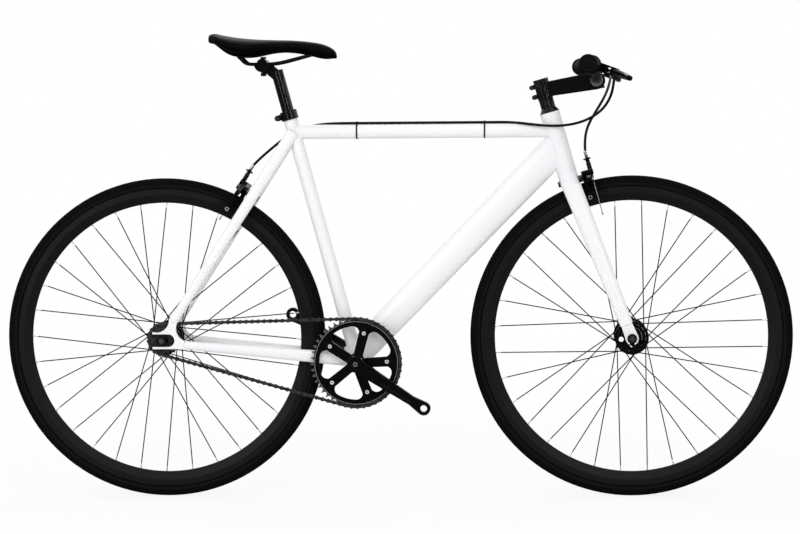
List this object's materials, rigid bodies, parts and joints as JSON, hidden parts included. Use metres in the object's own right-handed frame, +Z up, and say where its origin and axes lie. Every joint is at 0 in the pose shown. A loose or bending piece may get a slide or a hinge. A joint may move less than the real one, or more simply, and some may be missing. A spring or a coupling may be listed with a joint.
{
  "type": "fixed gear bicycle",
  "caption": "Single speed fixed gear bicycle with a straight frame, short riser bar, rim brakes, steering fork, turning wheels and cranks, and a sliding seatpost.",
  "frame": {"origin": "on the ground, midway between the two tyres' contact points", "axes": "+X forward, +Y to the rider's left, +Z up; the chain is on the -Y side"},
  "size_m": [1.658, 0.6094, 0.978],
  "materials": {
    "white_paint": "gloss",
    "black_alloy": "satin anodised",
    "black_steel": "satin",
    "bright_steel": "bright zinc",
    "chain_steel": "oiled, browned",
    "tyre_rubber": "matte",
    "tube_rubber": "matte",
    "grip_rubber": "matte, ribbed",
    "pad_rubber": "matte",
    "black_plastic": "matte",
    "saddle_vinyl": "soft sheen"
  },
  "bodies": {
    "frame": {"head_tube": "white_paint", "top_tube": "white_paint", "down_tube": "white_paint", "seat_tube": "white_paint", "bottom_bracket_shell": "white_paint", "chainstays": "white_paint", "seatstays": "white_paint", "rear_dropouts": "white_paint", "brake_bridge": "white_paint", "seat_clamp": "black_alloy", "frame_bolts": "bright_steel", "headset_bearings": "bright_steel", "bottom_bracket_cartridge": "black_steel", "rear_axle": "black_steel", "rear_cable_housing": "black_plastic", "cable_ties": "black_plastic", "chain": "chain_steel"},
    "steering": {"fork_crown": "white_paint", "fork_blades": "white_paint", "front_axle": "black_steel", "steering_bolts": "bright_steel", "stem": "black_alloy", "stem_faceplate": "black_alloy", "headset_spacers": "black_alloy", "handlebar": "black_alloy", "grips": "grip_rubber", "brake_lever_brackets": "black_alloy", "front_cable_housing": "black_plastic", "rear_cable_loop": "black_plastic"},
    "front_wheel": {"front_tyre": "tyre_rubber", "front_inner_tube": "tube_rubber", "front_rim": "black_alloy", "front_spokes": "black_steel", "front_hub": "black_alloy"},
    "rear_wheel": {"rear_tyre": "tyre_rubber", "rear_inner_tube": "tube_rubber", "rear_rim": "black_alloy", "rear_spokes": "black_steel", "rear_hub": "black_alloy", "rear_sprocket": "chain_steel"},
    "cranks": {"crank_right": "black_alloy", "crank_left": "black_alloy", "crank_spindle": "bright_steel", "chainring": "black_alloy", "crank_bolts": "bright_steel"},
    "right_lever": {"brake_lever_right": "black_alloy"},
    "left_lever": {"brake_lever_left": "black_alloy"},
    "front_arm_left": {"front_caliper_arm_left": "black_alloy", "front_brake_pad_left": "pad_rubber"},
    "front_arm_right": {"front_caliper_arm_right": "black_alloy", "front_brake_pad_right": "pad_rubber"},
    "rear_arm_left": {"rear_caliper_arm_left": "black_alloy", "rear_brake_pad_left": "pad_rubber"},
    "rear_arm_right": {"rear_caliper_arm_right": "black_alloy", "rear_brake_pad_right": "pad_rubber"},
    "seat": {"seatpost": "black_alloy", "saddle_clamp": "black_alloy", "saddle_rails": "black_steel", "saddle_shell": "black_plastic", "saddle_cover": "saddle_vinyl"}
  },
  "joints": [
    {"name": "steering_turn", "type": "hinge", "parent": "frame", "child": "steering", "pos_m": [0.35742, 0, 0.68268], "axis": [-0.2714, 0, 0.9625], "range_deg": [-75, 75], "deforming": ["rear_cable_loop"]},
    {"name": "front_wheel_spin", "type": "hinge", "parent": "steering", "child": "front_wheel", "pos_m": [0.491, 0, 0.338], "axis": [0, 1, 0], "continuous": true},
    {"name": "rear_wheel_spin", "type": "hinge", "parent": "frame", "child": "rear_wheel", "pos_m": [-0.491, 0, 0.338], "axis": [0, 1, 0], "continuous": true, "deforming": ["chain"]},
    {"name": "crank_spin", "type": "hinge", "parent": "frame", "child": "cranks", "pos_m": [-0.08591, 0, 0.2874], "axis": [0, 1, 0], "continuous": true},
    {"name": "right_lever_pull", "type": "hinge", "parent": "steering", "child": "right_lever", "pos_m": [0.44951, -0.16391, 0.89043], "axis": [-0.3419, 0.0313, -0.9392], "range_deg": [0, 20], "stiffness_Nm_per_rad": 1},
    {"name": "left_lever_pull", "type": "hinge", "parent": "steering", "child": "left_lever", "pos_m": [0.44951, 0.16391, 0.89043], "axis": [0.3419, 0.0313, 0.9392], "range_deg": [0, 20], "stiffness_Nm_per_rad": 1},
    {"name": "front_arm_right_close", "type": "hinge", "parent": "steering", "child": "front_arm_right", "pos_m": [0.40231, 0, 0.67456], "axis": [0.9625, 0, 0.2714], "range_deg": [0, 2]},
    {"name": "front_arm_left_close", "type": "hinge", "parent": "steering", "child": "front_arm_left", "pos_m": [0.40231, 0, 0.67456], "axis": [-0.9625, 0, -0.2714], "range_deg": [0, 2]},
    {"name": "rear_arm_left_close", "type": "hinge", "parent": "frame", "child": "rear_arm_left", "pos_m": [-0.3281, 0, 0.65364], "axis": [-0.8418, 0, 0.5397], "range_deg": [0, 1.65]},
    {"name": "rear_arm_right_close", "type": "hinge", "parent": "frame", "child": "rear_arm_right", "pos_m": [-0.3281, 0, 0.65364], "axis": [0.8418, 0, -0.5397], "range_deg": [0, 1.65]},
    {"name": "seatpost_height", "type": "slide", "parent": "frame", "child": "seat", "axis": [-0.2588, 0, 0.9659], "range_m": [-0.05, 0.04]}
  ],
  "couplings": [
    {"joint": "crank_spin", "follows": "rear_wheel_spin", "ratio": 0.34783},
    {"joint": "front_arm_right_close", "follows": "left_lever_pull", "ratio": 0.1},
    {"joint": "front_arm_left_close", "follows": "left_lever_pull", "ratio": 0.1},
    {"joint": "rear_arm_left_close", "follows": "right_lever_pull", "ratio": 0.0825},
    {"joint": "rear_arm_right_close", "follows": "right_lever_pull", "ratio": 0.0825}
  ]
}
